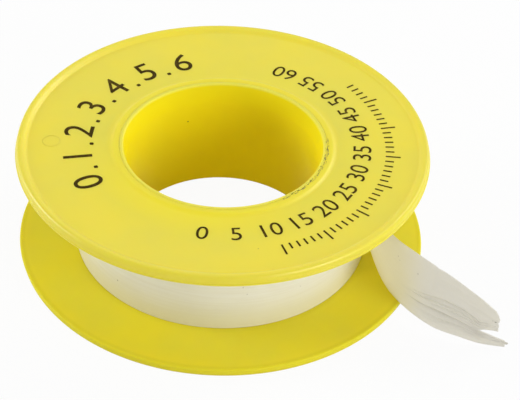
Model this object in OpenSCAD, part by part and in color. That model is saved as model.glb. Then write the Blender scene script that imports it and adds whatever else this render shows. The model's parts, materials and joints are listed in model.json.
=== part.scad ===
// Thread seal tape roll: a film tape wound on a two-part spool that snaps together.
// The last turn of the film leaves the roll as a free tail, gathered into pleats and torn off at its end.
// The spool lies on its lower flange. The origin is the middle of the bore, and +Z runs up the bore.

/* [Spool] */
// Outer diameter of both flanges
flange_d = 50; // [48:1:64]
// Diameter of the bore
bore_d = 23.5; // [20:0.5:25]
// Wall of the tube that stands on the lower flange
tube_wall = 0.8; // [0.6:0.1:1.2]
// Wall of the sleeve that hangs from the upper flange
sleeve_wall = 0.8; // [0.6:0.1:1.2]
// Thickness of a flange plate
plate_t = 0.8; // [0.6:0.1:1.4]
// Height of a rim bead above its plate
bead_h = 0.45; // [0.35:0.05:0.8]
// Width of a rim bead
bead_w = 1.4; // [1:0.1:2]
// Height of the lip round the bore above its plate
lip_h = 0.2; // [0.1:0.05:0.3]

/* [Tape] */
// Width of the film
tape_w = 12; // [10:0.5:19]
// Thickness of the wound tape on its sleeve, last turn included
wound_t = 4.6; // [3:0.1:6]
// Gap between an edge of the wound tape and a flange
edge_gap = 0.4; // [0.25:0.05:1]
// Thickness of the film in the last turn and the tail
film_t = 0.2; // [0.15:0.05:0.3]

/* [Tail] */
// Angle round the bore at which the tail leaves the roll
takeoff_angle = 10; // [-60:5:60]
// How far the tail runs on in the direction in which it leaves the roll
tail_forward = 23.8; // [22:0.2:30]
// How far the tail swings outwards from the roll
tail_outward = 13.4; // [10:0.2:18]
// Height of the tail's torn end at its lower edge, above the face that the spool rests on
end_low = 0.7; // [0.5:0.1:1.2]
// Height of the tail's torn end at its upper edge, above the face that the spool rests on
end_high = 3.7; // [3.4:0.1:9]
// Number of pleats in the gathered lower part of the tail
pleats = 2; // [2:1:4]
// Depth of a pleat at the torn end, to either side of the film
pleat_depth = 0.5; // [0.3:0.05:0.8]
// Length of the tear that splits the end into two tongues
tear_len = 4.2; // [3:0.2:6]
// Opening of the tear at the end
tear_open = 1.1; // [0.8:0.1:1.6]

/* [Hidden] */
$fn = 96;

// Clearances between pieces
fit_gap = 0.03;
seat_gap = 0.03;
running_gap = 0.15;

// Spool radii
flange_r = flange_d / 2;
bore_r = bore_d / 2;
tube_r = bore_r + tube_wall;
sleeve_in_r = tube_r + fit_gap;
sleeve_r = sleeve_in_r + sleeve_wall;
parting_step = 0.12;
bead_r = flange_r - parting_step;

// Spool heights, either side of the middle of the bore
gap_h = tape_w + 2 * edge_gap;
flange_t = plate_t + bead_h;
lower_face_z = -gap_h / 2;
upper_face_z = gap_h / 2;
rest_z = lower_face_z - flange_t;
lip_z = upper_face_z + plate_t + lip_h;

// Roundings, each limited by the wall that carries it
bead_round_share = 0.85;
bead_round = bead_round_share * min(bead_h, bead_w / 2);
plate_round_share = 0.3;
plate_round = plate_round_share * plate_t;
lip_round_share = 0.45;
lip_round = lip_round_share * tube_wall;
collar_round_share = 0.9;
collar_round = collar_round_share * min(lip_h, sleeve_wall / 2);

// Snap bead on the tube and its groove in the sleeve
snap_r_share = 0.3;
snap_r = snap_r_share * min(tube_wall, sleeve_wall);
snap_height_share = 0.82;
snap_z = lower_face_z + snap_height_share * gap_h;

// Wound tape: a core of the inner turns, then one turn of film that winds outwards over it
tape_low_z = lower_face_z + edge_gap;
tape_high_z = tape_low_z + tape_w;
core_in_r = sleeve_r + fit_gap;
roll_r = core_in_r + wound_t;
turn_rise = film_t;
turn_start_r = roll_r - film_t - turn_rise;
core_r = turn_start_r - running_gap;
core_round_share = 0.02;
core_round = core_round_share * tape_w;
turn_angle = 340;
turn_step = 4;
turn_steps = turn_angle / turn_step;
tail_start_r = roll_r - film_t / 2;

// Plan curves of the tail's two edges, as shares of how far it runs forward and swings outward
// The lower edge swings out first and the upper edge hugs the roll for longer, so the film leans
low_forward_shares = [0, 0.58, 0.86, 1];
low_outward_shares = [0, -0.04, 0.06, 1];
high_forward_shares = [0, 0.62, 0.92, 1];
high_outward_shares = [0, -0.16, 0.07, 1];
// Room that the tail keeps outside the flange's edge before its lower edge sinks
sink_room = 0.6;
// How fast the upper edge comes down: a power of the share of the length
drop_power = 3.6;
// Where the pleats start along the tail, the share of its height that they fill, and how soon they fade there
pleat_start_share = 0.42;
pleat_height_share = 0.62;
pleat_fade_share = 0.5;
// Grid of the tail: cells along its length and across its width
tail_cells = 26;
cross_cells = 20;
torn_column = 6;
// Ragged teeth of the torn end, and how much shorter the upper tongue is, as shares of the tail's length
tooth_share = 0.018;
upper_short_share = 0.03;
tooth_turn = 137;
// Step for the slopes of the film's surface, as a share of its length and width
slope_share = 0.001;
// Most that a steep pleat may widen the film, measured across its plan curve
widest_share = 3;

// Plain rounded shapes in the half plane of a revolve

// A bar from r0 to r1 that stands on z0 and rises to z1, with its two upper corners rounded
module crowned_bar(r0, r1, z0, z1, corner) {
    translate([r0, z0]) square([r1 - r0, z1 - z0 - corner]);
    translate([r0 + corner, z0]) square([r1 - r0 - 2 * corner, z1 - z0]);
    for (r = [r0 + corner, r1 - corner]) translate([r, z1 - corner]) circle(corner);
}

// A flange plate with its rim bead on top, standing on z = 0, whose lower outer corner is rounded
module flange_outline(inner_r) {
    translate([inner_r, plate_round]) square([flange_r - inner_r, plate_t - plate_round]);
    translate([inner_r, 0]) square([flange_r - plate_round - inner_r, plate_t]);
    translate([flange_r - plate_round, plate_round]) circle(plate_round);
    crowned_bar(bead_r - bead_w, bead_r, plate_t / 2, flange_t, bead_round);
}

// Lower half: a flange with its bead underneath, and a tube that forms the bore and carries the snap bead
module lower_half_outline() {
    translate([0, lower_face_z]) mirror([0, 1]) {
        flange_outline(bore_r);
        crowned_bar(bore_r, sleeve_r, plate_t / 2, plate_t + lip_h, collar_round);
    }
    crowned_bar(bore_r, tube_r, lower_face_z - plate_t / 2, lip_z, lip_round);
    intersection() {
        translate([tube_r, snap_z]) circle(snap_r);
        translate([tube_r - tube_wall / 2, lower_face_z]) square([tube_wall, gap_h]);
    }
}

// Upper half: a flange with its bead on top, and a sleeve that slides down over the tube and snaps on
module upper_half_outline() {
    difference() {
        union() {
            translate([0, upper_face_z]) {
                flange_outline(sleeve_in_r);
                crowned_bar(sleeve_in_r, sleeve_r, plate_t / 2, plate_t + lip_h, collar_round);
            }
            translate([sleeve_in_r, lower_face_z + seat_gap])
                square([sleeve_wall, gap_h - seat_gap + plate_t / 2]);
        }
        translate([tube_r, snap_z]) circle(snap_r + fit_gap);
    }
}

// Wound core: every turn but the last, with softened outer edges
module core_outline() {
    translate([core_in_r, tape_low_z + core_round]) square([core_r - core_in_r, tape_w - 2 * core_round]);
    translate([core_in_r, tape_low_z]) square([core_r - core_round - core_in_r, tape_w]);
    for (z = [tape_low_z + core_round, tape_high_z - core_round])
        translate([core_r - core_round, z]) circle(core_round);
}

// Last turn: one turn of a spiral that ends where the tail leaves, one film thickness further out
function turn_point(k, out) =
    let (share = k / turn_steps, a = takeoff_angle + turn_angle * (1 - share))
    let (r = turn_start_r + turn_rise * share + out)
    [r * cos(a), r * sin(a)];

module last_turn_outline() {
    polygon(concat(
        [for (k = [0 : turn_steps]) turn_point(k, 0)],
        [for (k = [turn_steps : -1 : 0]) turn_point(k, film_t)]
    ));
}

// Tail: a strip of film that stands on edge between two plan curves, sinks and narrows towards its end

function smooth(x) = let (t = max(0, min(1, x))) t * t * (3 - 2 * t);
function bezier(p, t) =
    p[0] * pow(1 - t, 3) + 3 * p[1] * t * pow(1 - t, 2) + 3 * p[2] * t * t * (1 - t) + p[3] * pow(t, 3);

function between(low, high, v) = low * (1 - v) + high * v;

// Plan of the film at a share t of its length and v of its height, as forward and outward distances
function plan(t, v) = [
    tail_forward * bezier(between(low_forward_shares, high_forward_shares, v), t),
    tail_outward * bezier(between(low_outward_shares, high_outward_shares, v), t)
];
// Direction of the plan there, as a unit vector: it leaves the roll straight along its tangent
function heading(t, v) =
    let (step = plan(t + slope_share, v) - plan(t - slope_share, v))
    t <= 0 ? [1, 0] : step / norm(step);

// Length of the lower edge's plan, and the share of it that the tear takes
edge_steps = [for (i = [1 : tail_cells]) norm(plan(i / tail_cells, 0) - plan((i - 1) / tail_cells, 0))];
tear_share = tear_len / (edge_steps * [for (i = [1 : tail_cells]) 1]);
tear_row = round(tail_cells * (1 - tear_share));
torn_v = (torn_column + 0.5) / cross_cells;

// Distance of the lower edge from the bore's axis, and where it is far enough out for the film to sink
function edge_r(t) = norm(plan(t, 0) + [0, tail_start_r]);
sink_r = flange_r + sink_room;
sink_run = edge_r(1) - sink_r;
function sink(t) = sink_run > 0 ? smooth((edge_r(t) - sink_r) / sink_run) : 0;

// Heights of the film's lower and upper edges along the tail
function low_edge(t) = tape_low_z - (tape_low_z - rest_z - end_low) * sink(t);
function high_edge(t) = tape_high_z - (tape_high_z - rest_z - end_high) * pow(max(0, t), drop_power);

// How far a pleat pushes the film sideways: none on the smooth upper part or near the roll
function pleat(t, v) =
    pleat_depth * smooth((t - pleat_start_share) / (1 - pleat_start_share))
    * smooth((pleat_height_share - v) / (pleat_height_share * pleat_fade_share))
    * sin(360 * pleats * v / pleat_height_share);

// How far the two tongues open at the tear
function tongue_shift(t, v) =
    tear_open / 2 * smooth((t - 1 + tear_share) / tear_share)
    * (v > torn_v ? (1 - v) / (1 - torn_v) : -v / torn_v);

// Point of the film's middle surface, in the tail's own frame of forward, outward and height
function film_point(t, v) =
    let (h = heading(t, v), p = plan(t, v) + pleat(t, v) * [-h[1], h[0]])
    [p[0], p[1], between(low_edge(t), high_edge(t), v) + tongue_shift(t, v)];

// Half the film's thickness, measured square to the plan curve, so that steep pleats keep their thickness
function film_half(t, v) =
    let (across = film_point(t, v + slope_share) - film_point(t, v - slope_share), h = heading(t, v))
    let (side = across[1] * h[0] - across[0] * h[1])
    [-h[1], h[0], 0] * film_t / 2 * min(widest_share, norm([side, across[2]]) / across[2]);

// Ragged end: each column of the film is torn off at its own length
function tooth(j) = tooth_share * (1 + sin(tooth_turn * j)) / 2 + (j > torn_column ? upper_short_share : 0);
function row_share(i, j) = i / tail_cells * (1 - tooth(j));

// From the tail's own frame to the spool's frame
function placed(p) =
    let (c = cos(takeoff_angle), s = sin(takeoff_angle))
    [(tail_start_r + p[1]) * c + p[0] * s, (tail_start_r + p[1]) * s - p[0] * c, p[2]];

function skin_point(i, j, side) =
    let (t = row_share(i, j), v = j / cross_cells)
    placed(film_point(t, v) + side * film_half(t, v));

function kept(i, j) =
    i >= 0 && i < tail_cells && j >= 0 && j < cross_cells && !(j == torn_column && i >= tear_row);

// Points are stored row by row, first the outer skin and then the inner one
tail_points = [
    for (side = [1, -1]) for (i = [0 : tail_cells]) for (j = [0 : cross_cells]) skin_point(i, j, side)
];
skin_size = (tail_cells + 1) * (cross_cells + 1);
function at(i, j, skin) = skin * skin_size + i * (cross_cells + 1) + j;
function quad(a, b, c, d) = [[a, b, c], [a, c, d]];
function edge_wall(a, b) = quad(b, a, a + skin_size, b + skin_size);

tail_faces = [
    for (i = [0 : tail_cells - 1]) for (j = [0 : cross_cells - 1]) if (kept(i, j)) each concat(
        quad(at(i, j, 0), at(i, j + 1, 0), at(i + 1, j + 1, 0), at(i + 1, j, 0)),
        quad(at(i, j, 1), at(i + 1, j, 1), at(i + 1, j + 1, 1), at(i, j + 1, 1)),
        kept(i, j - 1) ? [] : edge_wall(at(i + 1, j, 0), at(i, j, 0)),
        kept(i, j + 1) ? [] : edge_wall(at(i, j + 1, 0), at(i + 1, j + 1, 0)),
        kept(i - 1, j) ? [] : edge_wall(at(i, j, 0), at(i, j + 1, 0)),
        kept(i + 1, j) ? [] : edge_wall(at(i + 1, j + 1, 0), at(i + 1, j, 0))
    )
];

// Least gap of the film to itself: the start of its last turn against the tail that passes over it
turn_start = [for (k = [0 : 2]) turn_point(k, film_t)];
tail_gap = min([
    for (p = turn_start) for (i = [0 : tail_cells]) for (j = [0 : cross_cells])
        let (q = skin_point(i, j, -1)) norm([q[0] - p[0], q[1] - p[1]])
]);
echo(least_gap_of_the_film_to_itself = tail_gap);

module spool_lower_half() {
    color("gold") rotate_extrude() lower_half_outline();
}

module spool_upper_half() {
    color("gold") rotate_extrude() upper_half_outline();
}

module tape_roll() {
    color("white") rotate_extrude() core_outline();
}

module tape_last_turn() {
    color("white") translate([0, 0, tape_low_z]) linear_extrude(tape_w) last_turn_outline();
}

module tape_tail() {
    color("whitesmoke") polyhedron(tail_points, tail_faces);
}

spool_lower_half();
spool_upper_half();
tape_roll();
tape_last_turn();
tape_tail();
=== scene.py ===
"""Thread seal tape roll: a two-part moulded spool, the film wound on it, and its torn free end."""

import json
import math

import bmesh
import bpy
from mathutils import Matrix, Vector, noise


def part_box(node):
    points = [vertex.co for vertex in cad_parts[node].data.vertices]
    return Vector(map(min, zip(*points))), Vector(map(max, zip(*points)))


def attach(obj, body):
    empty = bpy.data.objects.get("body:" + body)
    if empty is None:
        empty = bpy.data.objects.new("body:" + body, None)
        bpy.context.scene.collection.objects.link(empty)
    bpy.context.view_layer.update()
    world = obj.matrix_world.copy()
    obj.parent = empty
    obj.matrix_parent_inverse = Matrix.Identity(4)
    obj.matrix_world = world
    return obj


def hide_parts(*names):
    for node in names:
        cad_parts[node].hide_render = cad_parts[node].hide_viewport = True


bl_info = {
    "name": "Thread Seal Tape Roll",
    "version": (1, 0, 0),
    "blender": (4, 5, 0),
    "location": "3D View > Sidebar > Tape Roll",
    "description": "Models the spool, the wound film and its torn free end round the CAD frame",
    "category": "Add Mesh",
}

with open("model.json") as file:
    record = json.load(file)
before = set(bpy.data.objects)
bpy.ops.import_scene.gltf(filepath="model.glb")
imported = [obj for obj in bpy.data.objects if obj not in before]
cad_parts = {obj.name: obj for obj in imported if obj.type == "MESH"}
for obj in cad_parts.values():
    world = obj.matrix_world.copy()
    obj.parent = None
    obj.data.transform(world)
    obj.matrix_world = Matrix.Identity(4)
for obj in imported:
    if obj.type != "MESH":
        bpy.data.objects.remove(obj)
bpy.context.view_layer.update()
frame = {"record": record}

MM = 0.001
LOWER_LOW, LOWER_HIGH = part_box("spool_lower_half")
UPPER_LOW, UPPER_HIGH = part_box("spool_upper_half")
ROLL_LOW, ROLL_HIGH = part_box("tape_roll")
BORE = next(m for m in frame["record"]["mounts"] if m["name"] == "bore")

TURN = 2 * math.pi
MERGE_DISTANCE = 0.001 * MM
ROUND_SEGMENTS = 6
SMOOTH_ANGLE = math.radians(38)


# Sizes and colours that a user would change


def length(name, description, mm):
    """A length, written in mm."""
    return bpy.props.FloatProperty(
        name=name, description=description, default=mm * MM, precision=6, subtype="DISTANCE", unit="LENGTH"
    )


def angle(name, description, degrees):
    """An angle, written in degrees."""
    return bpy.props.FloatProperty(
        name=name, description=description, default=math.radians(degrees), subtype="ANGLE", unit="ROTATION"
    )


def colour(name, description, default):
    """A linear colour."""
    return bpy.props.FloatVectorProperty(
        name=name, description=description, default=default, size=3, min=0, max=1, subtype="COLOR"
    )


class SpoolSizes(bpy.types.PropertyGroup):
    """Sizes of the two spool mouldings."""

    flange_radius: length("Flange radius", "Radius of both flanges", UPPER_HIGH.y / MM)
    bore_radius: length("Bore radius", "Radius of the open bore", BORE["dims"]["r_mm"])
    tube_wall: length("Tube wall", "Wall of the tube on the lower half", 0.8)
    sleeve_wall: length("Sleeve wall", "Wall of the sleeve on the upper half", 0.8)
    fit_gap: length("Fit gap", "Gap between the sleeve and what it fits", 0.03)
    seam_gap: length("Seam gap", "Gap between tube and sleeve where they meet at the bore", 0.012)
    lead_in: length("Lead-in", "How far the bore opens out at its upper end", 0.34)
    lead_in_depth: length("Lead-in depth", "Depth over which the bore opens out", 2.6)
    plate: length("Plate", "Thickness of a flange plate", 0.8)
    bead_height: length("Bead height", "Height of a rim bead above its plate", 0.45)
    bead_width: length("Bead width", "Width of a rim bead", 1.05)
    bead_ramp: length("Bead ramp", "Width of the slope on a rim bead's inner side", 0.5)
    bead_round: length("Bead rounding", "Rounding of a rim bead's crown on its inner side", 0.38)
    rim_round: length("Rim rounding", "Rounding of a rim bead's crown on its outer side", 0.58)
    parting_step: length("Parting step", "Step between a rim bead and its plate's edge", 0.12)
    parting_height: length("Parting height", "Height of that step above the plate's inner face", 0.28)
    edge_round: length("Edge rounding", "Rounding of a plate's inner edge", 0.22)
    step_round: length("Step rounding", "Softening of small steps and corners", 0.06)
    lip_height: length("Lip height", "Height of the lip round the bore above its plate", 0.2)
    lip_round: length("Lip rounding", "Rounding of the tube's end", 0.16)
    collar_ramp: length("Collar ramp", "Width of the slope outside the collar round the bore", 0.4)
    collar_round: length("Collar rounding", "Rounding of the collar round the bore", 0.15)
    foot_fillet: length("Foot fillet", "Fillet at the foot of a collar", 0.24)
    bead_fillet: length("Bead fillet", "Fillet at the foot of a rim bead", 0.2)
    snap_radius: length("Snap radius", "Radius of the snap bead on the tube", 0.24)
    snap_height: length("Snap height", "Height of the snap bead above the bore's middle", 4.1)
    spin_steps: bpy.props.IntProperty(name="Spin steps", description="Steps in a full turn", default=288)
    mark_radius: length("Pin mark radius", "Radius of the ejector pin's mark on the upper face", 1.05)
    mark_from_bore: length("Pin mark place", "Distance of the pin's mark from the bore's axis", 20.7)
    mark_angle: angle("Pin mark angle", "Angle of the pin's mark round the bore", -178)
    mark_height: length("Pin mark height", "Height of the ring that the pin leaves", 0.03)


class FilmSizes(bpy.types.PropertyGroup):
    """Sizes of the wound film and its free end."""

    thickness: length("Thickness", "Thickness of the film", 0.09)
    wound: length("Wound thickness", "Thickness of the wound tape on its sleeve", 4.6)
    takeoff: angle("Take-off angle", "Where the free end leaves the roll", 10)
    turn: angle("Last turn", "Angle that the last turn covers", 354)
    forward: length("Forward", "How far the free end runs on along its tangent", 23.8)
    outward: length("Outward", "How far the free end swings outwards", 13.4)
    end_low: length("End low", "Height of the torn end's lower edge above the floor", 0.18)
    end_high: length("End high", "Height of the torn end's upper edge above the floor", 3.7)
    settled: length("Settled", "How far the winding has settled towards the lower flange", 0.34)
    sink_room: length("Sink room", "Room outside the flange before the lower edge sinks", 0.6)
    hem_wave: length("Hem wave", "How far the gathered end's lower edge waves up and down", 0.16)
    pleat_depth: length("Pleat depth", "Depth of a pleat", 0.34)


class Finishes(bpy.types.PropertyGroup):
    """Colours of the plastic, the film, the ink and the dirt, and of painted glow, shade, highlight and
    flange bounce light.
    """

    plastic: colour("Plastic", "Yellow of the thin flanges", (0.82, 0.72, 0.05))
    # Deeper yellow: the thick tube's own colour, and also painted glow near the front of the bore
    plastic_deep_and_glow: colour("Deep plastic", "Warmer yellow of the tube and the collar", (0.98, 0.79, 0.012))
    # Painted highlight: the paler yellow along the top of the tube's lip
    plastic_lip_highlight: colour("Pale plastic", "Paler yellow of the tube's thin lip", (0.92, 0.82, 0.13))
    # Painted shade: the darker yellow of the rim beads' outer face
    plastic_rim_shade: colour("Rim plastic", "Deeper yellow of the rim beads' outer face", (0.77, 0.67, 0.035))
    film: colour("Film", "Off-white of the wound film", (0.87, 0.85, 0.735))
    film_grey: colour("Grey film", "Greyer streaks along the film", (0.82, 0.79, 0.655))
    # Painted bounce light: yellow on the film where a flange lights it, not the film's own colour
    film_flange_bounce: colour("Warm film", "Film that a flange lights yellow", (0.76, 0.71, 0.46))
    film_thin: colour("Thin film", "Film that hangs free and lets light through", (0.80, 0.786, 0.745))
    ink: colour("Ink", "Brown-black of the printed numbers", (0.049, 0.030, 0.002))
    ink_worn: colour("Worn ink", "Ink where it has rubbed thin", (0.12, 0.08, 0.012))
    dirt: colour("Dirt", "Specks of dirt on plastic and film", (0.06, 0.045, 0.03))


class DialSizes(bpy.types.PropertyGroup):
    """Sizes of the plain numbers and ticks on the upper face."""

    ink_thickness: length("Ink thickness", "How far the ink stands above the plastic", 0.012)
    large_digit: length("Large digit", "Height of the digits on the left", 3.7)
    large_radius: length("Large radius", "Radius of the middle of the large digits", 17.4)
    small_digit: length("Small digit", "Height of the digits on the right", 2.3)
    small_radius: length("Small radius", "Radius of the middle of the small digits", 16.9)
    tick_inner: length("Tick radius", "Radius at which the ticks start", 19.6)
    tick_long: length("Long tick", "Length of a long tick", 1.8)
    tick_short: length("Short tick", "Length of a short tick", 1.05)
    tick_width: length("Tick width", "Width of a tick", 0.24)


class StageSizes(bpy.types.PropertyGroup):
    """Camera, lights and floor."""

    camera_x: length("Camera X", "Camera's place along X", 4.69)
    camera_y: length("Camera Y", "Camera's place along Y", -191.89)
    camera_z: length("Camera Z", "Camera's place along Z", 155.53)
    camera_elevation: angle("Camera elevation", "How far the camera looks down", 39.25)
    camera_roll: angle("Camera roll", "Tilt of the picture", 2.34)
    camera_lens: bpy.props.FloatProperty(name="Lens", description="Focal length in mm", default=139.15)
    floor_size: length("Floor size", "Side of the floor", 4000)
    world_light: bpy.props.FloatProperty(name="World light", description="Light from all round", default=0.46)


def sizes(context):
    """The five groups of settings of the scene."""
    s = context.scene
    return s.spool_sizes, s.film_sizes, s.finishes, s.dial_sizes, s.stage_sizes


# Modelling helpers


def start_clean():
    """Leaves edit mode and deselects everything."""
    if bpy.context.mode != "OBJECT":
        bpy.ops.object.mode_set(mode="OBJECT")
    bpy.ops.object.select_all(action="DESELECT")


def edit_all():
    """Enters edit mode with everything selected."""
    bpy.ops.object.mode_set(mode="EDIT")
    bpy.ops.mesh.select_all(action="SELECT")


def select_vertices(obj, places):
    """Selects, in edit mode, the vertices that lie at one of some places."""
    edited = bmesh.from_edit_mesh(obj.data)
    for vertex in edited.verts:
        vertex.select_set(min((vertex.co - place).length for place in places) < MERGE_DISTANCE)
    edited.select_flush_mode()
    bmesh.update_edit_mesh(obj.data)


def outline_face(name, corners):
    """Draws a closed outline in the XZ plane, corner by corner, and fills it."""
    start_clean()
    bpy.ops.mesh.primitive_plane_add(size=MM, location=(0, 0, 0))
    obj = bpy.context.object
    obj.name = obj.data.name = name
    edit_all()
    bpy.ops.mesh.select_mode(type="VERT")
    bpy.ops.mesh.merge(type="CENTER")
    places = [Vector((radius, 0, height)) for radius, height, _ in corners]
    bpy.ops.transform.translate(value=places[0])
    for here, there in zip(places, places[1:]):
        bpy.ops.mesh.extrude_vertices_move(TRANSFORM_OT_translate={"value": there - here})
    select_vertices(obj, (places[0], places[-1]))
    bpy.ops.mesh.edge_face_add()
    edit_all()
    bpy.ops.mesh.edge_face_add()
    return obj, places


def turned_piece(name, corners, steps):
    """Rounds the corners of an outline and spins it into a closed ring about the bore."""
    obj, places = outline_face(name, corners)
    for rounding in sorted({rounding for _, _, rounding in corners if rounding > 0}):
        select_vertices(obj, [place for place, corner in zip(places, corners) if corner[2] == rounding])
        bpy.ops.mesh.bevel(
            affect="VERTICES", offset_type="OFFSET", offset=rounding, segments=ROUND_SEGMENTS, profile=0.5,
            clamp_overlap=False,
        )
    edit_all()
    bpy.ops.mesh.delete(type="ONLY_FACE")
    edit_all()
    bpy.ops.mesh.spin(steps=steps, angle=TURN, use_auto_merge=True, center=(0, 0, 0), axis=(0, 0, 1))
    edit_all()
    bpy.ops.mesh.remove_doubles(threshold=MERGE_DISTANCE)
    bpy.ops.mesh.normals_make_consistent(inside=False)
    bpy.ops.object.mode_set(mode="OBJECT")
    bpy.ops.object.shade_smooth_by_angle(angle=SMOOTH_ANGLE)
    return obj


def finish_piece(obj, material, body, nodes=()):
    """Gives a piece its material and its body, and hides the CAD nodes that it stands for."""
    obj.data.materials.clear()
    obj.data.materials.append(material)
    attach(obj, body)
    if nodes:
        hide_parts(*nodes)


def smooth(x):
    """An even step from 0 to 1."""
    x = min(max(x, 0.0), 1.0)
    return x * x * (3 - 2 * x)


def mix(a, b, t):
    """The value a share t of the way from a to b."""
    return a + (b - a) * t


def bezier(points, t):
    """A cubic curve through four control values."""
    a, b, c, d = points
    return a * (1 - t) ** 3 + 3 * b * t * (1 - t) ** 2 + 3 * c * t * t * (1 - t) + d * t**3


def along(points, t):
    """A value that passes smoothly through a few (t, value) points."""
    last = len(points) - 1
    t = min(max(t, points[0][0]), points[last][0])
    k = next(k for k in range(last) if t <= points[k + 1][0])
    slopes = []
    for at in (k, k + 1):
        before, after = points[max(at - 1, 0)], points[min(at + 1, last)]
        slopes.append((after[1] - before[1]) / (after[0] - before[0]))
    (t0, v0), (t1, v1) = points[k], points[k + 1]
    span = t1 - t0
    s = (t - t0) / span
    rise = v1 - v0
    start, end = slopes[0] * span, slopes[1] * span
    return v0 + s * start + s * s * (3 * rise - 2 * start - end) + s**3 * (start + end - 2 * rise)


# Material helpers


class Nodes:
    """Short ways to add and fill the nodes of a tree."""

    def __init__(self, tree):
        self.tree = tree

    def add(self, kind, **settings):
        """Adds a node and sets its fields."""
        made = self.tree.nodes.new(kind)
        for field, value in settings.items():
            setattr(made, field, value)
        return made

    def fill(self, node, values):
        """Fills sockets of a node, named or numbered: each with a value, or by a link from an output."""
        for socket, value in values.items():
            if isinstance(value, bpy.types.NodeSocket):
                self.tree.links.new(value, node.inputs[socket])
            else:
                node.inputs[socket].default_value = value

    def math(self, operation, a, b=0.0):
        """One sum of one or two values."""
        made = self.add("ShaderNodeMath", operation=operation)
        self.fill(made, {0: a, 1: b})
        return made.outputs[0]

    def times(self, a, b):
        """The product of two values."""
        return self.math("MULTIPLY", a, b)

    def most(self, a, b):
        """The larger of two values."""
        return self.math("MAXIMUM", a, b)

    def seen_rays(self):
        """1 for rays from the camera, and for those that gloss and glass send on."""
        path = self.add("ShaderNodeLightPath").outputs
        return self.most(self.most(path["Is Camera Ray"], path["Is Glossy Ray"]), path["Is Transmission Ray"])

    def show_mix(self, output, amount, first, second):
        """Shows a mix of two shaders as the surface."""
        both = self.add("ShaderNodeMixShader")
        self.fill(both, {0: amount, 1: first.outputs[0], 2: second.outputs[0]})
        self.fill(self.tree.nodes[output], {"Surface": both.outputs[0]})


class Finish(Nodes):
    """A new material, with short ways to make its patterns."""

    def __init__(self, name):
        self.material = bpy.data.materials.new(name)
        self.material.use_nodes = True
        super().__init__(self.material.node_tree)
        self.shader = self.tree.nodes["Principled BSDF"]
        self.place = self.add("ShaderNodeTexCoord").outputs["Object"]

    def split(self, vector):
        """The three parts of a vector."""
        made = self.add("ShaderNodeSeparateXYZ")
        self.fill(made, {0: vector})
        return made.outputs

    def noise(self, scale, detail=3.0, roughness=0.55, where=None):
        """A noise pattern, with features of about one over its scale, in metres."""
        made = self.add("ShaderNodeTexNoise")
        self.fill(made, {"Vector": where or self.place, "Scale": scale})
        self.fill(made, {"Detail": detail, "Roughness": roughness})
        return made.outputs["Fac"]

    def band(self, value, low, high, start=0.0, end=1.0):
        """Maps a range of a value to another range, with smooth ends."""
        made = self.add("ShaderNodeMapRange", interpolation_type="SMOOTHSTEP")
        self.fill(made, {"Value": value, "From Min": low, "From Max": high, "To Min": start, "To Max": end})
        return made.outputs["Result"]

    def blend(self, amount, first, second):
        """A colour between two others."""
        made = self.add("ShaderNodeMix", data_type="RGBA")
        opaque = [c if isinstance(c, bpy.types.NodeSocket) else (*c, 1) for c in (first, second)]
        self.fill(made, {"Factor": amount, 6: opaque[0], 7: opaque[1]})
        return made.outputs[2]

    def bump(self, height, distance, strength, under=None):
        """Turns a height into a slight relief, over another if one is given."""
        made = self.add("ShaderNodeBump")
        self.fill(made, {"Height": height, "Distance": distance, "Strength": strength})
        if under is not None:
            self.fill(made, {"Normal": under})
        return made.outputs["Normal"]

    def specks(self, density, least):
        """Sparse dark specks: 1 inside a speck, 0 elsewhere."""
        cells = self.add("ShaderNodeTexVoronoi")
        self.fill(cells, {"Vector": self.place, "Scale": density})
        dot = self.band(cells.outputs["Distance"], 0.03, 0.06, 1.0, 0.0)
        chosen = self.add("ShaderNodeSeparateColor")
        self.fill(chosen, {0: cells.outputs["Color"]})
        return self.times(dot, self.band(chosen.outputs["Red"], least, least + 0.02))


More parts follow.
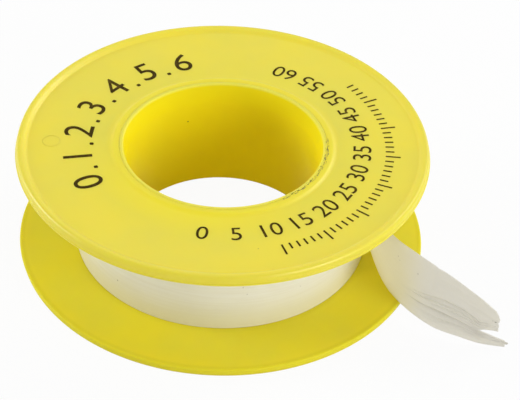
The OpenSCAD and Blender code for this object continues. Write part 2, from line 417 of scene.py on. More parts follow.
def moulded_plastic(name, colours, spool, gloss):
    """Waxy, slightly see-through yellow plastic with faint flow marks, specks and dirt in the seam, and
    painted light: a glow in front of the bore, shade on the rim beads and a highlight on the tube's lip.
    """
    finish = Finish(name)
    band, times, most = finish.band, finish.times, finish.most
    x, y, z = finish.split(finish.place)
    radius = finish.math("SQRT", finish.math("ADD", times(x, x), times(y, y)))
    seam = spool.bore_radius + spool.tube_wall
    edge = spool.flange_radius
    thick = band(radius, seam, seam + 2.2 * MM, 1.0, 0.0)
    flow = band(finish.noise(110, 2.0), 0.3, 0.72, 0.0, 0.35)
    # Painted glow: near the bore and towards the front, the plastic is painted the deeper yellow, as if light
    # shone through it
    toward_front = finish.math("ADD", times(x, -0.35), times(y, -0.94))
    near_bore = band(radius, seam, seam + 7 * MM, 1.0, 0.0)
    front_glow = times(near_bore, band(toward_front, 2 * MM, 15 * MM))
    # The deeper yellow goes on the thick tube, on flow marks and on the painted front glow
    depth = most(most(thick, front_glow), flow)
    yellow = finish.blend(depth, colours.plastic, colours.plastic_deep_and_glow)
    # Painted shade: the rim beads' outer face is painted a darker, deeper yellow
    rim_shade = band(radius, edge - 0.85 * MM, edge - 0.3 * MM)
    yellow = finish.blend(rim_shade, yellow, colours.plastic_rim_shade)
    # Painted highlight: the top of the tube's thin lip is painted a paler yellow
    on_tube = band(radius, seam - 0.1 * MM, seam + 0.1 * MM, 1.0, 0.0)
    near_lip = band(z, LOWER_HIGH.z - 0.4 * MM, LOWER_HIGH.z - 0.05 * MM, 0.0, 0.8)
    yellow = finish.blend(times(on_tube, near_lip), yellow, colours.plastic_lip_highlight)
    from_seam = finish.math("ABSOLUTE", finish.math("SUBTRACT", radius, seam))
    in_seam = band(from_seam, 0.14 * MM, 0.3 * MM, 1.0, 0.0)
    on_top = band(z, UPPER_HIGH.z - 0.9 * MM, UPPER_HIGH.z - 0.6 * MM)
    round_bore = finish.add("ShaderNodeCombineXYZ")
    finish.fill(round_bore, {0: times(finish.math("ARCTAN2", y, x), 5.0), 1: times(radius, 2400.0)})
    flecks = band(finish.noise(3.0, 3.0, 0.7, round_bore.outputs[0]), 0.525, 0.575)
    side = band(finish.math("SUBTRACT", x, times(y, 0.45)), 11.2 * MM, 12.6 * MM)
    seam_dirt = times(times(in_seam, on_top), times(flecks, side))
    dirty = most(times(seam_dirt, 0.9), times(finish.specks(420, 0.94), 0.6))
    broad = finish.bump(finish.noise(75, 1.5), 0.12 * MM, 0.25)
    finish.fill(finish.shader, {
        "Base Color": finish.blend(dirty, yellow, colours.dirt),
        "Roughness": band(finish.noise(260, 4.0), 0.25, 0.8, 0.32, 0.46),
        "IOR": 1.5,
        "Specular IOR Level": gloss,
        "Subsurface Weight": 0.45,
        "Subsurface Radius": (1.0, 0.8, 0.12),
        "Subsurface Scale": 1.4 * MM,
        "Normal": finish.bump(finish.noise(2600, 3.0), 0.012 * MM, 0.35, broad),
    })
    return finish.material


# Specks on the film, in mm: place from where it leaves the roll, height, radius, then strength
FILM_SPECKS = (
    (-59.7, 2.2, 0.09, 0.30), (-68.6, 2.9, 0.13, 0.50), (-84.7, 6.3, 0.12, 0.30), (-85.2, 5.2, 0.11, 0.28),
    (-90.0, 6.3, 0.10, 0.35), (-92.0, 4.5, 0.11, 0.22), (15.2, 8.8, 0.13, 0.35), (15.5, 8.2, 0.12, 0.30),
    (19.0, 7.8, 0.12, 0.55), (29.5, 6.0, 0.17, 0.95), (29.2, 6.1, 0.10, 0.60),
)


def waxy_film(colours, free_from):
    """Off-white, waxy film: lengthwise streaks from rolling, greyer where it hangs free, a few specks, and
    painted yellow bounce light from the flanges.
    """
    finish = Finish("waxy_film")
    band, times, most = finish.band, finish.times, finish.most
    lay = finish.add("ShaderNodeUVMap", uv_map="film_lay").outputs["UV"]
    ahead, up, _ = finish.split(lay)

    def from_roll(start, stop, *values):
        """A band along the film, in mm from where it leaves the roll."""
        return band(ahead, free_from + start * MM, free_from + stop * MM, *values)

    def grain(lengthwise, across, detail, roughness):
        """A noise with a scale along the film and one across it."""
        drawn = finish.add("ShaderNodeMapping")
        finish.fill(drawn, {"Vector": lay, "Scale": (lengthwise, across, 1)})
        return finish.noise(1.0, detail, roughness, drawn.outputs["Vector"])

    streaks = grain(90, 2600, 4.0, 0.6)
    cloudy = grain(160, 240, 2.0, 0.5)
    tone = finish.math("ADD", times(streaks, 0.55), times(cloudy, 0.45))
    white = finish.blend(band(tone, 0.36, 0.66), colours.film, colours.film_grey)
    # Painted bounce light: the film's lower edge on the roll and near the take-off is painted yellow, as if
    # lit by the lower flange
    low = times(band(up, 0.2 * MM, 5 * MM, 0.8, 0.0), from_roll(0, 12, 1.0, 0.0))
    white = finish.blend(low, white, colours.film_flange_bounce)
    free = times(from_roll(2, 22), band(tone, 0.3, 0.7, 1.0, 0.85))
    white = finish.blend(free, white, colours.film_thin)
    # Painted bounce light: where the free end runs over the flange, it is painted yellow
    flange_bounce = times(from_roll(4, 10, 0.0, 0.4), from_roll(14.5, 21, 1.0, 0.0))
    white = finish.blend(flange_bounce, white, colours.film_flange_bounce)
    dirty = times(finish.specks(380, 0.95), 0.6)
    for forward, height, radius, strength in FILM_SPECKS:
        near = finish.add("ShaderNodeVectorMath", operation="DISTANCE")
        finish.fill(near, {0: lay, 1: (free_from + forward * MM, height * MM, 0)})
        dot = band(near.outputs["Value"], radius * 0.5 * MM, radius * MM, strength, 0.0)
        dirty = most(dirty, dot)
    shown = finish.blend(dirty, white, colours.dirt)
    creases = grain(700, 420, 3.0, 0.6)
    pinches = grain(110, 1500, 2.0, 0.5)
    gathered = times(from_roll(14, 24), band(up, 3.5 * MM, 6.5 * MM, 1.0, 0.0))
    relief = finish.bump(streaks, 0.02 * MM, 0.4)
    relief = finish.bump(creases, 0.05 * MM, 0.3, relief)
    relief = finish.bump(times(pinches, gathered), 0.35 * MM, 0.8, relief)
    finish.fill(finish.shader, {
        "Base Color": shown,
        "Roughness": band(streaks, 0.3, 0.7, 0.36, 0.5),
        "IOR": 1.36,
        "Subsurface Weight": 0.2,
        "Subsurface Radius": (1.0, 0.95, 0.85),
        "Subsurface Scale": 0.8 * MM,
        "Sheen Weight": 0.08,
        "Normal": relief,
    })
    let_through = finish.add("ShaderNodeBsdfTranslucent")
    finish.fill(let_through, {"Color": shown, "Normal": relief})
    finish.show_mix("Material Output", from_roll(-1, 1, 0.0, 0.8), finish.shader, let_through)
    return finish.material


def printing_ink(colours):
    """Brown-black printing ink, rubbed thin in places."""
    finish = Finish("printing_ink")
    rubbed = finish.band(finish.noise(900, 4.0, 0.65), 0.46, 0.72)
    finish.fill(finish.shader, {
        "Base Color": finish.blend(rubbed, colours.ink, colours.ink_worn),
        "Roughness": finish.band(finish.noise(500, 2.0), 0.3, 0.7, 0.5, 0.65),
        "Specular IOR Level": 0.05,
        "Normal": finish.bump(finish.noise(3000, 2.0), 0.006 * MM, 0.4),
    })
    return finish.material


def material_named(name, make, *settings):
    """The material of that name, made once."""
    return bpy.data.materials.get(name) or make(*settings)


# The spool


COLLAR_INNER_SHARE = 0.3
STEP_TOP_SHARE, STEP_FOOT_SHARE = 0.65, 0.3
MARK_FLATTENING = 0.6
TUBE_GLOSS, FLANGE_GLOSS = 0.04, 0.55


def sleeve_radius(spool):
    """Outer radius of the sleeve, which is also that of the collar round the bore."""
    return spool.bore_radius + spool.tube_wall + spool.fit_gap + spool.sleeve_wall


def core_radius(spool):
    """Radius at which the wound film starts."""
    return spool.bore_radius + spool.tube_wall + spool.sleeve_wall + 2 * spool.fit_gap


def flange_corners(spool, side):
    """Corners of a flange, from the collar round the bore out to its edge; side is 1 above, -1 below."""
    edge = spool.flange_radius
    crown = side * UPPER_HIGH.z
    face = side * (UPPER_HIGH.z - spool.bead_height)
    inner = side * (UPPER_HIGH.z - spool.bead_height - spool.plate)
    bead_out = edge - spool.parting_step
    bead_in = bead_out - spool.bead_width
    parting = inner + side * spool.parting_height
    collar = sleeve_radius(spool)
    lip = face + side * spool.lip_height
    return [
        (collar - spool.collar_ramp * COLLAR_INNER_SHARE, lip, spool.collar_round),
        (collar + spool.collar_ramp * (1 - COLLAR_INNER_SHARE), face, spool.foot_fillet),
        (bead_in - spool.bead_ramp / 2, face, spool.bead_fillet),
        (bead_in + spool.bead_ramp / 2, crown, spool.bead_round),
        (bead_out, crown, spool.rim_round),
        (bead_out, parting, spool.parting_step * STEP_TOP_SHARE),
        (edge, parting, spool.parting_step * STEP_FOOT_SHARE),
        (edge, inner, spool.edge_round),
    ]


def snap_corners(radius, height, bulge, count=9):
    """Points of a half round on a wall, from its upper end down."""
    turns = [math.pi / 2 - math.pi * k / (count - 1) for k in range(count)]
    return [(radius + bulge * math.cos(a), height + bulge * math.sin(a), 0) for a in turns]


class TAPEROLL_OT_spool_lower(bpy.types.Operator):
    """Model the lower half: a flange, and the tube that forms the bore and carries the snap bead"""

    bl_idname = "tape_roll.spool_lower"
    bl_label = "Spool Lower Half"

    def execute(self, context):
        spool, _, finishes, _, _ = sizes(context)
        tube = spool.bore_radius + spool.tube_wall
        floor = LOWER_LOW.z + spool.bead_height + spool.plate
        collar_end = LOWER_LOW.z + spool.bead_height - spool.lip_height
        corners = [
            (spool.bore_radius, collar_end, spool.collar_round),
            *flange_corners(spool, -1),
            (tube, floor, spool.step_round),
            *reversed(snap_corners(tube, spool.snap_height, spool.snap_radius)),
            (tube, LOWER_HIGH.z, spool.step_round),
            (spool.bore_radius + spool.lead_in, LOWER_HIGH.z, spool.lip_round),
            (spool.bore_radius, LOWER_HIGH.z - spool.lead_in_depth, spool.foot_fillet),
        ]
        obj = turned_piece("spool_lower", corners, spool.spin_steps)
        plastic = moulded_plastic("tube_plastic", finishes, spool, TUBE_GLOSS)
        finish_piece(obj, plastic, "spool", ["spool_lower_half"])
        return {"FINISHED"}


class TAPEROLL_OT_spool_upper(bpy.types.Operator):
    """Model the upper half: a flange, the sleeve that snaps over the tube, and the pin's mark on its face"""

    bl_idname = "tape_roll.spool_upper"
    bl_label = "Spool Upper Half"

    def execute(self, context):
        spool, _, finishes, _, _ = sizes(context)
        sleeve_in = spool.bore_radius + spool.tube_wall + spool.seam_gap
        sleeve_out = sleeve_radius(spool)
        face = UPPER_HIGH.z - spool.bead_height
        inner = face - spool.plate
        groove = snap_corners(sleeve_in, spool.snap_height, spool.snap_radius + spool.fit_gap)
        corners = [
            (sleeve_in, face + spool.lip_height, spool.step_round),
            *flange_corners(spool, 1),
            (sleeve_out, inner, spool.foot_fillet),
            (sleeve_out, UPPER_LOW.z, spool.step_round),
            (sleeve_in, UPPER_LOW.z, spool.step_round),
            *reversed(groove),
        ]
        obj = turned_piece("spool_upper", corners, spool.spin_steps)
        plastic = moulded_plastic("flange_plastic", finishes, spool, FLANGE_GLOSS)
        finish_piece(obj, plastic, "spool", ["spool_upper_half"])
        self.pin_mark(spool, plastic, face)
        return {"FINISHED"}

    def pin_mark(self, spool, plastic, face):
        """A faint raised ring where a pin pushed the moulding out."""
        start_clean()
        place = Matrix.Rotation(spool.mark_angle, 3, "Z") @ Vector((spool.mark_from_bore, 0, face))
        bpy.ops.mesh.primitive_torus_add(
            location=place, major_radius=spool.mark_radius, minor_radius=spool.mark_height,
            major_segments=64, minor_segments=8,
        )
        ring = bpy.context.object
        ring.name = ring.data.name = "ejector_mark"
        edit_all()
        bpy.ops.transform.resize(value=(1, 1, MARK_FLATTENING))
        bpy.ops.object.mode_set(mode="OBJECT")
        bpy.ops.object.transform_apply()
        bpy.ops.object.shade_smooth()
        finish_piece(ring, plastic, "spool")


# The film


# Control values of the free end's plan, for its lower and upper edge
LOW_FORWARD_SHARES = (0, 0.58, 0.86, 1)
LOW_OUTWARD_SHARES = (0, -0.04, 0.06, 1)
HIGH_FORWARD_SHARES = (0, 0.62, 0.92, 1)
HIGH_OUTWARD_SHARES = (0, -0.26, 0.07, 1)
SLOPE_SHARE = 0.002

# How far the upper edge has dropped: (share of the length, share of the whole drop) points
UPPER_DROP = (
    (0, 0), (0.22, 0.06), (0.42, 0.15), (0.6, 0.18), (0.75, 0.31), (0.87, 0.56), (0.945, 0.80), (1, 1)
)

# Fold lines of the gathered end, from the lower edge up: (share of the length, share of the height) points
FOLD_LINES = (
    ((0.40, 0.02), (0.62, 0.05), (0.72, 0.10), (0.82, 0.13), (0.90, 0.13), (1.0, 0.09)),
    ((0.40, 0.12), (0.60, 0.17), (0.72, 0.20), (0.80, 0.22), (0.90, 0.19), (1.0, 0.15)),
    ((0.40, 0.16), (0.61, 0.215), (0.72, 0.255), (0.80, 0.265), (0.90, 0.235), (1.0, 0.185)),
    ((0.40, 0.20), (0.62, 0.26), (0.72, 0.31), (0.81, 0.31), (0.89, 0.28), (1.0, 0.22)),
    ((0.40, 0.26), (0.62, 0.33), (0.72, 0.39), (0.80, 0.42), (0.88, 0.39), (1.0, 0.36)),
    ((0.40, 0.295), (0.62, 0.37), (0.72, 0.445), (0.80, 0.485), (0.88, 0.455), (1.0, 0.43)),
    ((0.40, 0.33), (0.61, 0.41), (0.69, 0.49), (0.76, 0.55), (0.84, 0.56), (0.90, 0.50), (1.0, 0.50)),
)
# For each panel between folds: its depth, and where it starts
FOLD_STRENGTHS = (0.6, 0.75, 0.55, 0.85, 0.75, 0.5, 0.75)
PLEAT_STARTS = (0.60, 0.50, 0.64, 0.46, 0.56, 0.44, 0.50)
PLEAT_GROWTH = 0.28
PLEAT_SLOPE = 0.5
PLEAT_ROUND = 2.1
PLEAT_DOUBLING = 0.25
PLEAT_WRINKLE = 0.3
OVERLAP = 0.10 * MM
OVERLAP_FADE = 0.3

# Depths, in mm, of the unevenness of a handled film
BULGE, WRINKLE, DENT, POUCH, HEM = 0.22, 0.05, 0.10, 0.30, 0.12
TURN_SWAY, TURN_SHIFT = 0.008, 0.05
# Rise of the last turn, in film thicknesses
TURN_RISE = 1.05

# The tear: its strand, where it starts, and the edges of the tongues above and below it
TEAR_STRAND = 0.2226
TEAR_START_SHARE = 0.888
TEAR_UPPER = ((0.888, 0.32), (0.91, 0.385), (0.955, 0.48), (1.0, 0.52))
TEAR_LOWER = ((0.888, 0.32), (0.915, 0.30), (0.94, 0.265), (0.97, 0.235), (1.0, 0.195))
UPPER_TONGUE_SHARE = 0.953
LOWER_TONGUE_SHARE = 0.992
TONGUE_FLATTENING, TONGUE_RUN = 0.7, 0.05
TONGUE_CORNER, TONGUE_POINT = 0.012, 0.024
RAGGED, FRAYED = 0.007, 0.003


def wander(x, y, z):
    """A fixed, smooth unevenness between about -1 and 1."""
    return noise.noise(Vector((x, y, z)))


class FilmShape:
    """The middle surface of the film: its last turn round the roll, then its free end."""

    def __init__(self, spool, film):
        self.film = film
        self.start_radius = core_radius(spool) + film.wound - film.thickness / 2
        self.low, self.high = ROLL_LOW.z - film.settled, ROLL_HIGH.z - film.settled
        self.floor = LOWER_LOW.z
        self.sink_radius = spool.flange_radius + film.sink_room
        self.turn_length = self.start_radius * film.turn
        self.strands = [0.0, *(line[0][1] for line in FOLD_LINES), 1.0]
        rows = 60
        edge = [self.plan(k / rows, 0.5) for k in range(rows + 1)]
        self.tail_length = sum((b - a).length for a, b in zip(edge, edge[1:]))

    def plan(self, t, v):
        """Forward and outward distances at a share t of the free end's length and v of its height."""
        forward = mix(bezier(LOW_FORWARD_SHARES, t), bezier(HIGH_FORWARD_SHARES, t), v)
        outward = mix(bezier(LOW_OUTWARD_SHARES, t), bezier(HIGH_OUTWARD_SHARES, t), v)
        spot = Vector((forward * self.film.forward, outward * self.film.outward + self.start_radius))
        if spot.length < self.start_radius:
            spot.length = self.start_radius
        return spot - Vector((0, self.start_radius))

    def side(self, t, v):
        """Unit vector square to the plan, pointing away from the roll."""
        step = self.plan(t + SLOPE_SHARE, v) - self.plan(t - SLOPE_SHARE, v)
        step.normalize()
        return Vector((-step.y, step.x))

    def edges(self, t):
        """Heights of the lower and the upper edge."""
        reach = (self.plan(t, 0) + Vector((0, self.start_radius))).length
        end = (self.plan(1, 0) + Vector((0, self.start_radius))).length
        sink = smooth((reach - self.sink_radius) / (end - self.sink_radius))
        low = mix(self.low, self.floor + self.film.end_low, sink)
        low += wander(t * 14.0, 0.7, 2.9) * smooth((t - 0.55) / 0.3) * self.film.hem_wave
        high = mix(self.high, self.floor + self.film.end_high, along(UPPER_DROP, t))
        return low, high

    def creases(self, t):
        """Shares of the height at which the folds lie, between those of both edges."""
        return [0.0, *(along(line, t) for line in FOLD_LINES), 1.0]

    def panel(self, v):
        """The panel between two folds in which a strand lies, and its place across that panel."""
        k = next(k for k, above in enumerate(self.strands[1:]) if v <= above)
        return k, (v - self.strands[k]) / (self.strands[k + 1] - self.strands[k])

    def height_share(self, t, v):
        """Share of the height at which a strand lies: it follows the folds, and the tear parts it."""
        creases = self.creases(t)
        k, part = self.panel(v)
        here = mix(creases[k], creases[k + 1], part)
        if t <= TEAR_START_SHARE:
            return here
        k, part = self.panel(TEAR_STRAND)
        tear = mix(creases[k], creases[k + 1], part)
        if v > TEAR_STRAND:
            return 1 - (1 - here) * (1 - along(TEAR_UPPER, t)) / (1 - tear)
        return here * along(TEAR_LOWER, t) / tear

    def fold(self, t, v):
        """How far the pleats push the film sideways: sharp at the folds, rounded between them."""
        k, part = self.panel(v)
        grown = smooth((t - PLEAT_STARTS[min(k, len(FOLD_LINES) - 1)]) / PLEAT_GROWTH)
        grown *= 1 - TONGUE_FLATTENING * smooth((t - TEAR_START_SHARE) / TONGUE_RUN)
        low, high = self.edges(t)
        creases = self.creases(t)
        wide = (creases[k + 1] - creases[k]) * (high - low)
        if k == len(FOLD_LINES):
            lapped = 1 - math.exp(-part * wide / OVERLAP)
            fade = 1 - smooth(part * (1 - creases[k]) / OVERLAP_FADE)
            return -self.film.pleat_depth * FOLD_STRENGTHS[-1] * grown * lapped * fade
        deep = min(self.film.pleat_depth * FOLD_STRENGTHS[k], PLEAT_SLOPE * wide)
        pillow = 1 - abs(2 * part - 1) ** PLEAT_ROUND
        split = smooth(0.5 + 0.9 * wander(t * 6.0, k * 3.1, 1.4))
        doubled = abs(math.sin(TURN * part))
        wrinkle = PLEAT_WRINKLE * wander(t * 9.0, (k + part) * 3.5, 6.2) * pillow
        return -deep * grown * (mix(pillow, doubled, PLEAT_DOUBLING * split) + wrinkle)

    def ripple(self, t, v):
        """Soft unevenness of a handled film: bulges, wrinkles, a cross dent, a pouch and a turned hem."""
        handled = smooth((t - 0.12) / 0.3)
        broad = wander(t * 4.0, v * 1.6, 3.1) * BULGE
        fine = wander(t * 12.0, v * 16.0, 8.4) * WRINKLE * smooth((t - 0.5) / 0.3)
        dent = -DENT * math.exp(-(((t - mix(0.62, 0.71, v)) / 0.011) ** 2)) * smooth((v - 0.45) / 0.2)
        pouch = -POUCH * math.exp(-(((t - 0.70) / 0.13) ** 2) - ((v - 0.12) / 0.14) ** 2)
        hem = -HEM * math.exp(-v / 0.02)
        return (broad + fine + dent + pouch + hem) * handled * MM

    def tail_point(self, t, v):
        """A point of the free end, in the frame."""
        low, high = self.edges(t)
        up = self.height_share(t, v)
        flat = self.plan(t, up) + self.side(t, up) * (self.fold(t, v) + self.ripple(t, up))
        spot = Vector((self.start_radius + flat.y, -flat.x, mix(low, high, up)))
        return Matrix.Rotation(self.film.takeoff, 3, "Z") @ spot

    def turn_point(self, s, v):
        """A point of the last turn, a share s of the way from its start to the take-off."""
        radius = self.start_radius - self.film.thickness * TURN_RISE * (1 - s)
        sway = wander(s * 40.0, v * 1.5, 5.5) * TURN_SWAY * MM
        shift = wander(s * 9.0, 0.0, 1.7) * TURN_SHIFT * MM
        turned = self.film.takeoff + self.film.turn * (1 - s)
        height = mix(self.low, self.high, v) + shift * smooth((1 - s) * 30)
        spot = Vector((radius + sway * smooth((1 - s) * 40), 0, height))
        return Matrix.Rotation(turned, 3, "Z") @ spot

    def torn_end(self, v):
        """Share of the free end's length at which the film is torn off."""
        upper = v > TEAR_STRAND
        across = (v - TEAR_STRAND) / (1 - TEAR_STRAND) if upper else v / TEAR_STRAND
        ragged = wander(across * 6.0, 2.2, 0.4 + upper) * RAGGED
        ragged += wander(across * 31.0, 4.0, 7.0 + upper) * FRAYED
        if upper:
            return UPPER_TONGUE_SHARE + ragged - TONGUE_CORNER * smooth((across - 0.85) / 0.15)
        return LOWER_TONGUE_SHARE + ragged - TONGUE_POINT * abs(across - 0.5)


class TAPEROLL_OT_tape_end(bpy.types.Operator):
    """Model the last turn of film and its free end as one strip, gathered into pleats and torn off"""

    bl_idname = "tape_roll.tape_end"
    bl_label = "Tape End"

    TURN_ROWS = 150
    WHOLE_ROWS = 120
    TORN_ROWS = 24
    PANEL_COLUMNS = (6, 8, 6, 8, 10, 6, 8, 44)
    TEAR_GAP = 0.0004

    def execute(self, context):
        spool, film, finishes, _, _ = sizes(context)
        shape = FilmShape(spool, film)
        obj = self.strip(shape)
        start_clean()
        context.view_layer.objects.active = obj
        obj.select_set(True)
        wall = obj.modifiers.new("film_thickness", "SOLIDIFY")
        wall.thickness = film.thickness
        wall.offset = 0
        wall.use_even_offset = False
        bpy.ops.object.modifier_apply(modifier=wall.name)
        bpy.ops.object.shade_smooth_by_angle(angle=SMOOTH_ANGLE)
        film_finish = material_named("waxy_film", waxy_film, finishes, shape.turn_length)
        finish_piece(obj, film_finish, "tape_end", ["tape_last_turn", "tape_tail"])
        return {"FINISHED"}

    def strip(self, shape):
        """The film's middle surface as a grid, with the tear left open and its lay kept as a UV map."""
        columns = [TEAR_STRAND - self.TEAR_GAP, TEAR_STRAND + self.TEAR_GAP, 1.0]
        for k, count in enumerate(self.PANEL_COLUMNS):
            columns += [mix(shape.strands[k], shape.strands[k + 1], j / count) for j in range(count)]
        columns.sort()
        points, lay = [], []
        for i in range(self.TURN_ROWS):
            s = i / self.TURN_ROWS
            points += [shape.turn_point(s, v) for v in columns]
            lay += [(s * shape.turn_length, v * (shape.high - shape.low)) for v in columns]
        for i in range(self.WHOLE_ROWS + self.TORN_ROWS + 1):
            for v in columns:
                t = TEAR_START_SHARE * min(i / self.WHOLE_ROWS, 1)
                t += (shape.torn_end(v) - TEAR_START_SHARE) * max(i - self.WHOLE_ROWS, 0) / self.TORN_ROWS
                points.append(shape.tail_point(t, v))
                lay.append((shape.turn_length + t * shape.tail_length, v * (shape.high - shape.low)))
        wide = len(columns)
        torn_column = columns.index(TEAR_STRAND - self.TEAR_GAP)
        torn_row = self.TURN_ROWS + self.WHOLE_ROWS
        faces = [
            (i * wide + j, i * wide + j + 1, (i + 1) * wide + j + 1, (i + 1) * wide + j)
            for i in range(len(points) // wide - 1)
            for j in range(wide - 1)
            if not (j == torn_column and i >= torn_row)
        ]
        mesh = bpy.data.meshes.new("tape_end_film")
        mesh.from_pydata(points, [], faces)
        spread = mesh.uv_layers.new(name="film_lay")
        for loop in mesh.loops:
            spread.data[loop.index].uv = lay[loop.vertex_index]
        obj = bpy.data.objects.new("tape_end_film", mesh)
        bpy.context.collection.objects.link(obj)
        return obj


class TAPEROLL_OT_wound_turns(bpy.types.Operator):
    """Model the inner turns of the roll, whose edges stand a little uneven"""

    bl_idname = "tape_roll.wound_turns"
    bl_label = "Wound Turns"

    LAYERS = 26
    OUTER_ROOM = 3.2
    RIDGE, UNEVEN = 0.05, 0.05

    def execute(self, context):
        spool, film, finishes, _, _ = sizes(context)
        inner = core_radius(spool)
        outer = inner + film.wound - self.OUTER_ROOM * film.thickness
        radii = [mix(inner, outer, k / self.LAYERS) for k in range(self.LAYERS + 1)]
        top = [(r, ROLL_HIGH.z - film.settled - self.uneven(k, 0.0), 0) for k, r in enumerate(radii)]
        bottom = [(r, ROLL_LOW.z - film.settled + self.uneven(k, 9.0), 0) for k, r in enumerate(radii)]
        obj = turned_piece("wound_turns", [*top, *reversed(bottom)], spool.spin_steps // 2)
        self.lay_out(obj)
        film_finish = material_named("waxy_film", waxy_film, finishes, FilmShape(spool, film).turn_length)
        finish_piece(obj, film_finish, "spool", ["tape_roll"])
        return {"FINISHED"}

    def uneven(self, k, row):
        """How far the edge of layer k lies in from the edge of the tape."""
        ridge = self.RIDGE if k % 2 else 0.0
        return (ridge + self.UNEVEN * (1 + wander(k * 0.7, row, 0.3))) * MM

    def lay_out(self, obj):
        """Keeps the film's lay as a UV map: round the roll, and up it."""
        spread = obj.data.uv_layers.new(name="film_lay")
        for loop in obj.data.loops:
            spot = obj.data.vertices[loop.vertex_index].co
            radius = math.hypot(spot.x, spot.y)
            spread.data[loop.index].uv = (math.atan2(spot.y, spot.x) * radius, spot.z + radius)


# The printed scale


class TAPEROLL_OT_dial(bpy.types.Operator):
    """Print a plain scale of numbers and ticks on the upper face"""

    bl_idname = "tape_roll.dial"
    bl_label = "Number Scale"

    LARGE_START, LARGE_STEP = 208, -16.4
    LARGE_DIGITS = "0123456"
    SMALL_START, SMALL_STEP = -96, 13.4
    SMALL_COUNT = 13
    TICK_START, TICK_STEP = -68, 2.7
    TICK_COUNT = 41
    TICK_GROUP = 6
    SMALL_UNIT = 5
    FONT_PER_HEIGHT = 1.38
    CORNER_SHARE = 0.25
    DOT_INSET = 0.42

    def execute(self, context):
        spool, _, finishes, dial, _ = sizes(context)
        face = UPPER_HIGH.z - spool.bead_height
        ink = material_named("printing_ink", printing_ink, finishes)
        large = []
        for k, digit in enumerate(self.LARGE_DIGITS):
            at = self.LARGE_START + k * self.LARGE_STEP
            large.append(self.print_text(digit, dial.large_digit, dial.large_radius, at, 1, dial, face))
            if k:
                large.append(self.dot(dial, face, at - self.LARGE_STEP / 2))
        self.join(large, "dial_large_digits", ink)
        small = [
            self.print_text(
                str(k * self.SMALL_UNIT), dial.small_digit, dial.small_radius,
                self.SMALL_START + k * self.SMALL_STEP, -1, dial, face,
            )
            for k in range(self.SMALL_COUNT)
        ]
        self.join(small, "dial_small_digits", ink)
        ticks = [self.tick(k, dial, face) for k in range(self.TICK_COUNT)]
        self.join(ticks, "dial_ticks", ink)
        return {"FINISHED"}

    def place(self, obj, degrees, radius, turn, face):
        """Turns and moves a flat mark to its place on the face, and puts that place in its mesh."""
        a = math.radians(degrees)
        obj.rotation_euler = (0, 0, a + turn)
        obj.location = (radius * math.cos(a), radius * math.sin(a), face)
        bpy.ops.object.transform_apply()
        return obj

    def print_text(self, text, size, radius, degrees, outward, dial, face):
        """One number, with its head towards the rim (1) or towards the bore (-1)."""
        start_clean()
        bpy.ops.object.text_add(location=(0, 0, 0))
        obj = bpy.context.object
        obj.data.body = text
        obj.data.size = size * self.FONT_PER_HEIGHT
        obj.data.align_x, obj.data.align_y = "CENTER", "CENTER"
        obj.data.extrude = dial.ink_thickness / 2
        obj.data.resolution_u = 6
        bpy.ops.object.convert(target="MESH")
        return self.place(bpy.context.object, degrees, radius, -math.pi / 2 * outward, face)

    def flat_bar(self, wide, tall, dial):
        """A flat bar of ink with softened corners."""
        start_clean()
        bpy.ops.mesh.primitive_cube_add(size=1, location=(0, 0, 0))
        obj = bpy.context.object
        edit_all()
        bpy.ops.transform.resize(value=(wide, tall, dial.ink_thickness))
        bpy.ops.mesh.select_mode(type="EDGE")
        edited = bmesh.from_edit_mesh(obj.data)
        for edge in edited.edges:
            a, b = (vertex.co for vertex in edge.verts)
            edge.select_set(abs(a.z - b.z) > MERGE_DISTANCE)
        bmesh.update_edit_mesh(obj.data)
        bpy.ops.mesh.bevel(offset=min(wide, tall) * self.CORNER_SHARE, segments=2)
        bpy.ops.object.mode_set(mode="OBJECT")
        return obj

    def dot(self, dial, face, degrees):
        """A small square dot between two large digits."""
        obj = self.flat_bar(dial.tick_width * 2, dial.tick_width * 2, dial)
        return self.place(obj, degrees, dial.large_radius - dial.large_digit * self.DOT_INSET, 0, face)

    def tick(self, k, dial, face):
        """One tick of the scale, longer at each group."""
        tall = dial.tick_long if k % self.TICK_GROUP == 0 else dial.tick_short
        obj = self.flat_bar(tall, dial.tick_width, dial)
        return self.place(obj, self.TICK_START + k * self.TICK_STEP, dial.tick_inner + tall / 2, 0, face)

    def join(self, marks, name, ink):
        """Joins marks into one printed piece."""
        start_clean()
        for mark in marks:
            mark.select_set(True)
        bpy.context.view_layer.objects.active = marks[0]
        bpy.ops.object.join()
        obj = bpy.context.object
        obj.name = obj.data.name = name
        finish_piece(obj, ink, "spool")


# The stage


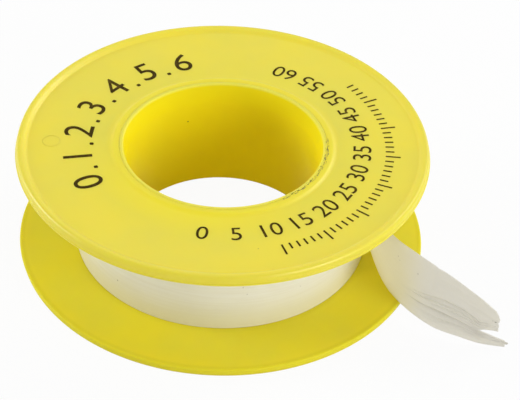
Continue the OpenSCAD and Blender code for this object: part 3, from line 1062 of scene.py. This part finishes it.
class TAPEROLL_OT_stage(bpy.types.Operator):
    """Set the pale floor, the soft light and the camera"""

    bl_idname = "tape_roll.stage"
    bl_label = "Stage"

    WHITE = (1, 1, 1, 1)
    FLOOR_GREY = (0.86, 0.86, 0.86, 1)
    FLOOR_GLOW = 0.94
    SENSOR_WIDTH = 36
    LAMP_WIDTH = 0.45
    # Name, place in metres, power in watts
    LAMPS = (
        ("key_light", (0.589, -0.494, 0.22), 3.2),
        ("left_light", (-0.757, 0.134, 0.22), 3.6),
        ("back_right_light", (0.47, 0.39, 0.51), 2.0),
    )

    def execute(self, context):
        _, _, _, _, stage = sizes(context)
        self.camera(context, stage)
        self.lamps()
        self.world(context, stage)
        self.floor(stage)
        context.scene.view_settings.view_transform = "Standard"
        return {"FINISHED"}

    def camera(self, context, stage):
        """The photograph's camera."""
        data = bpy.data.cameras.new("camera")
        data.sensor_width = self.SENSOR_WIDTH
        data.lens = stage.camera_lens
        data.clip_start = 0.01
        obj = bpy.data.objects.new("camera", data)
        context.collection.objects.link(obj)
        look = Matrix.Rotation(math.pi / 2 - stage.camera_elevation, 4, "X")
        roll = Matrix.Rotation(stage.camera_roll, 4, "Z")
        place = Matrix.Translation((stage.camera_x, stage.camera_y, stage.camera_z))
        obj.matrix_world = place @ look @ roll
        context.scene.camera = obj

    def lamps(self):
        """Large soft lamps that face the roll."""
        for name, place, power in self.LAMPS:
            data = bpy.data.lights.new(name, "AREA")
            data.shape = "DISK"
            data.size = self.LAMP_WIDTH
            data.energy = power
            obj = bpy.data.objects.new(name, data)
            bpy.context.collection.objects.link(obj)
            obj.location = place
            obj.rotation_euler = (-Vector(place)).to_track_quat("-Z", "Y").to_euler()

    def world(self, context, stage):
        """Even light from all round, seen as white."""
        world = context.scene.world = bpy.data.worlds.new("white_surround")
        world.use_nodes = True
        nodes = Nodes(world.node_tree)
        light = nodes.tree.nodes["Background"]
        nodes.fill(light, {"Strength": stage.world_light, "Color": self.WHITE})
        seen = nodes.add("ShaderNodeBackground")
        nodes.fill(seen, {"Color": self.WHITE})
        nodes.show_mix("World Output", nodes.seen_rays(), light, seen)

    def floor(self, stage):
        """A pale floor that keeps the soft shadow."""
        start_clean()
        bpy.ops.mesh.primitive_plane_add(size=stage.floor_size, location=(0, 0, LOWER_LOW.z))
        obj = bpy.context.object
        obj.name = "floor"
        bpy.ops.object.transform_apply()
        pale = Finish("pale_floor")
        pale.fill(pale.shader, {"Base Color": self.FLOOR_GREY, "Roughness": 0.9, "Specular IOR Level": 0.1})
        glow = pale.add("ShaderNodeEmission")
        pale.fill(glow, {"Color": self.WHITE})
        pale.show_mix("Material Output", pale.times(pale.seen_rays(), self.FLOOR_GLOW), pale.shader, glow)
        obj.data.materials.append(pale.material)


class TAPEROLL_PT_panel(bpy.types.Panel):
    """The pieces of the tape roll, in the order in which they are made"""

    bl_idname = "TAPEROLL_PT_panel"
    bl_label = "Tape Roll"
    bl_space_type = "VIEW_3D"
    bl_region_type = "UI"
    bl_category = "Tape Roll"

    def draw(self, context):
        for operator in OPERATORS:
            self.layout.operator(operator.bl_idname)


GROUPS = {
    "spool_sizes": SpoolSizes,
    "film_sizes": FilmSizes,
    "finishes": Finishes,
    "dial_sizes": DialSizes,
    "stage_sizes": StageSizes,
}
OPERATORS = (
    TAPEROLL_OT_stage,
    TAPEROLL_OT_spool_lower,
    TAPEROLL_OT_spool_upper,
    TAPEROLL_OT_wound_turns,
    TAPEROLL_OT_tape_end,
    TAPEROLL_OT_dial,
)


def register():
    for group in GROUPS.values():
        bpy.utils.register_class(group)
    for name, group in GROUPS.items():
        setattr(bpy.types.Scene, name, bpy.props.PointerProperty(type=group))
    for operator in OPERATORS:
        bpy.utils.register_class(operator)
    bpy.utils.register_class(TAPEROLL_PT_panel)


def unregister():
    bpy.utils.unregister_class(TAPEROLL_PT_panel)
    for operator in reversed(OPERATORS):
        bpy.utils.unregister_class(operator)
    for name in GROUPS:
        delattr(bpy.types.Scene, name)
    for group in reversed(GROUPS.values()):
        bpy.utils.unregister_class(group)


def main():
    """Makes every piece in order."""
    register()
    bpy.ops.tape_roll.stage()
    bpy.ops.tape_roll.spool_lower()
    bpy.ops.tape_roll.spool_upper()
    bpy.ops.tape_roll.wound_turns()
    bpy.ops.tape_roll.tape_end()
    bpy.ops.tape_roll.dial()


if __name__ == "__main__":
    main()
